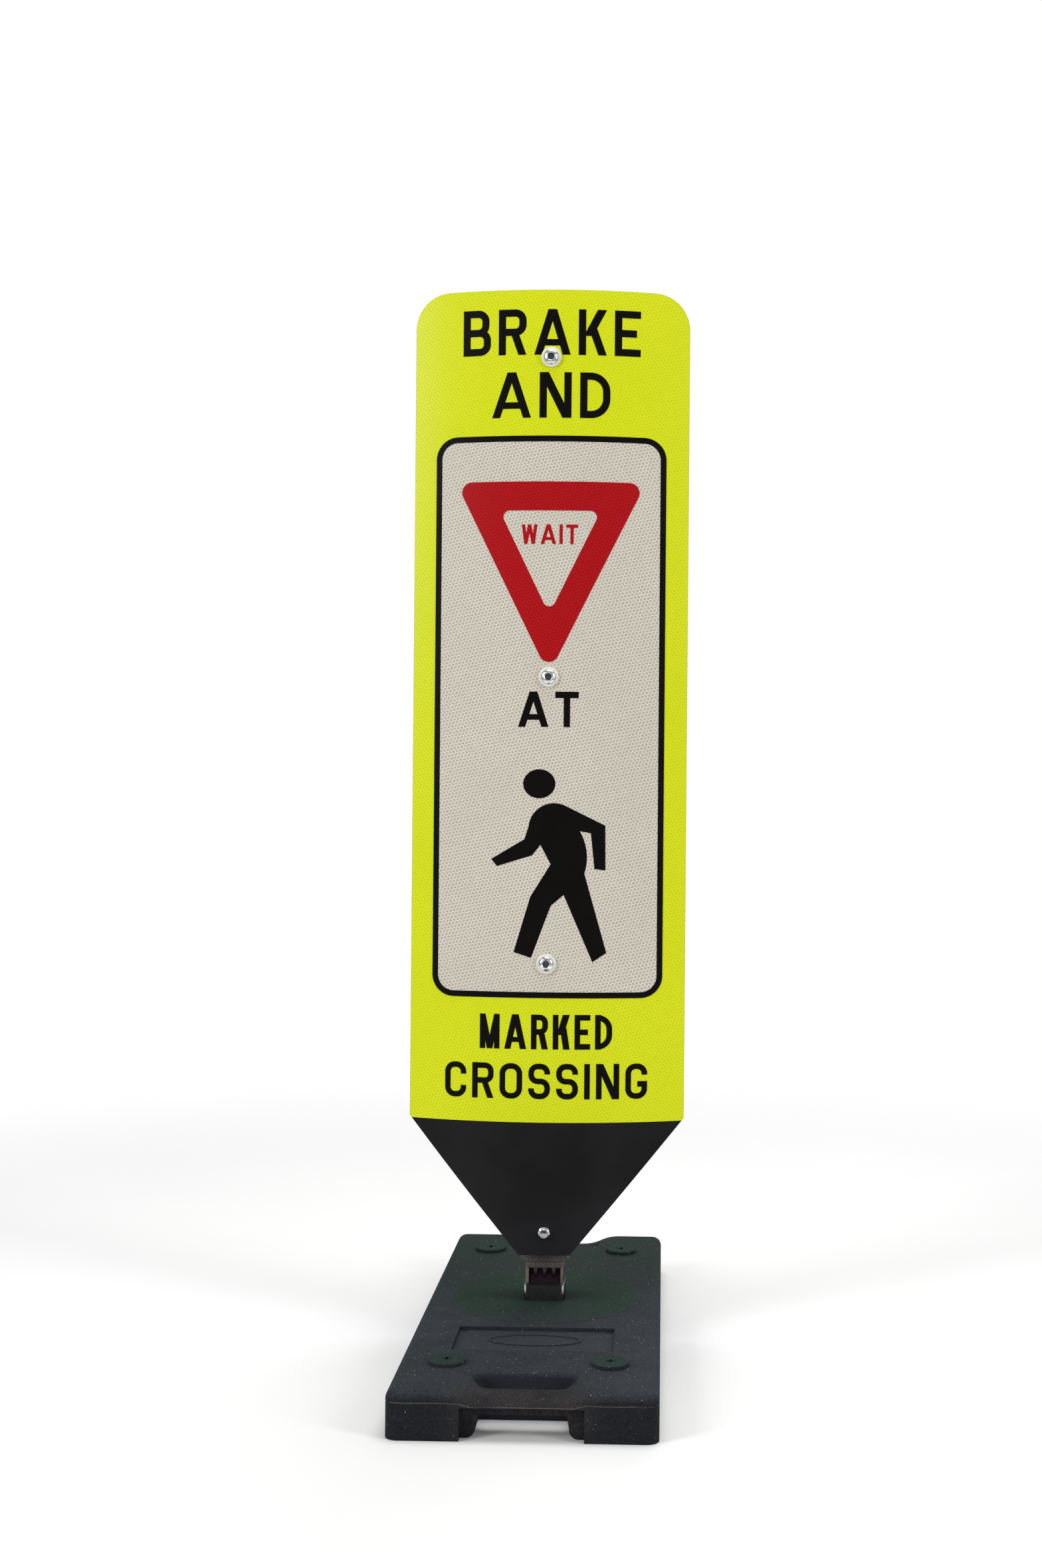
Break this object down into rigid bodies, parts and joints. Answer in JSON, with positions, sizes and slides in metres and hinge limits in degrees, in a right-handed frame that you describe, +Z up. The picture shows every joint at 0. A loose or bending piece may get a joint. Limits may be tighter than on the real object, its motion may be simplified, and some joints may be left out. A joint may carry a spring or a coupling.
{
  "type": "crossing signpost",
  "caption": "Portable two-sided road crossing sign: a bowed panel on a square mast, held by a rubber rebound coupler in a heavy rubber base.",
  "frame": {"origin": "centre of the slab's outline on the ground, directly below the middle of the box round the whole object", "axes": "+Z up, -Y the side the sign's front faces, +X to the right as seen from the front; the mast stands 20 mm behind the slab's middle"},
  "size_m": [0.3048, 0.61, 1.158],
  "materials": {
    "rubber_crumb": "matt, speckled recycled crumb rubber",
    "zinc_steel": "zinc plated, satin",
    "black_enamel": "gloss black enamel",
    "coupler_rubber": "semi-gloss moulded rubber",
    "black_plastic": "satin black plastic",
    "yellow_green_film": "fluorescent reflective sheeting with a honeycomb of cells",
    "white_film": "white reflective sheeting with a honeycomb of cells",
    "black_film": "black overlay film",
    "red_film": "transparent red over reflective sheeting",
    "bright_steel": "bright",
    "nylon": "natural nylon, translucent cream"
  },
  "bodies": {
    "base": {"base_slab": "rubber_crumb", "anchor_plate": "zinc_steel", "anchor_screws": "zinc_steel", "screw_inserts": "zinc_steel", "socket_tube": "black_enamel", "coupler_shank": "coupler_rubber", "shank_insert": "zinc_steel", "shank_screw": "zinc_steel", "coupler_web": "coupler_rubber"},
    "sign": {"coupler_head": "coupler_rubber", "mast_tube": "black_plastic", "mast_cap": "black_plastic", "panel_bolts": "bright_steel", "front_washers": "nylon", "rear_washers": "nylon", "lock_nuts": "zinc_steel", "neck_bolt": "zinc_steel", "neck_washer": "zinc_steel", "neck_nut": "zinc_steel", "front_panel": "black_plastic", "front_film": "yellow_green_film", "front_field": "white_film", "front_border": "black_film", "front_triangle": "red_film", "front_figure": "black_film", "front_legend": "black_film", "rear_panel": "black_plastic", "rear_film": "yellow_green_film", "rear_field": "white_film", "rear_border": "black_film", "rear_triangle": "red_film", "rear_figure": "black_film", "rear_legend": "black_film"}
  },
  "joints": [
    {"name": "fore_aft_flex", "type": "hinge", "parent": "base", "child": "sign", "pos_m": [0, 0.02, 0.0755], "axis": [1, 0, 0], "range_deg": [-80, 80], "stiffness_Nm_per_rad": 45, "deforming": ["coupler_web"]}
  ]
}
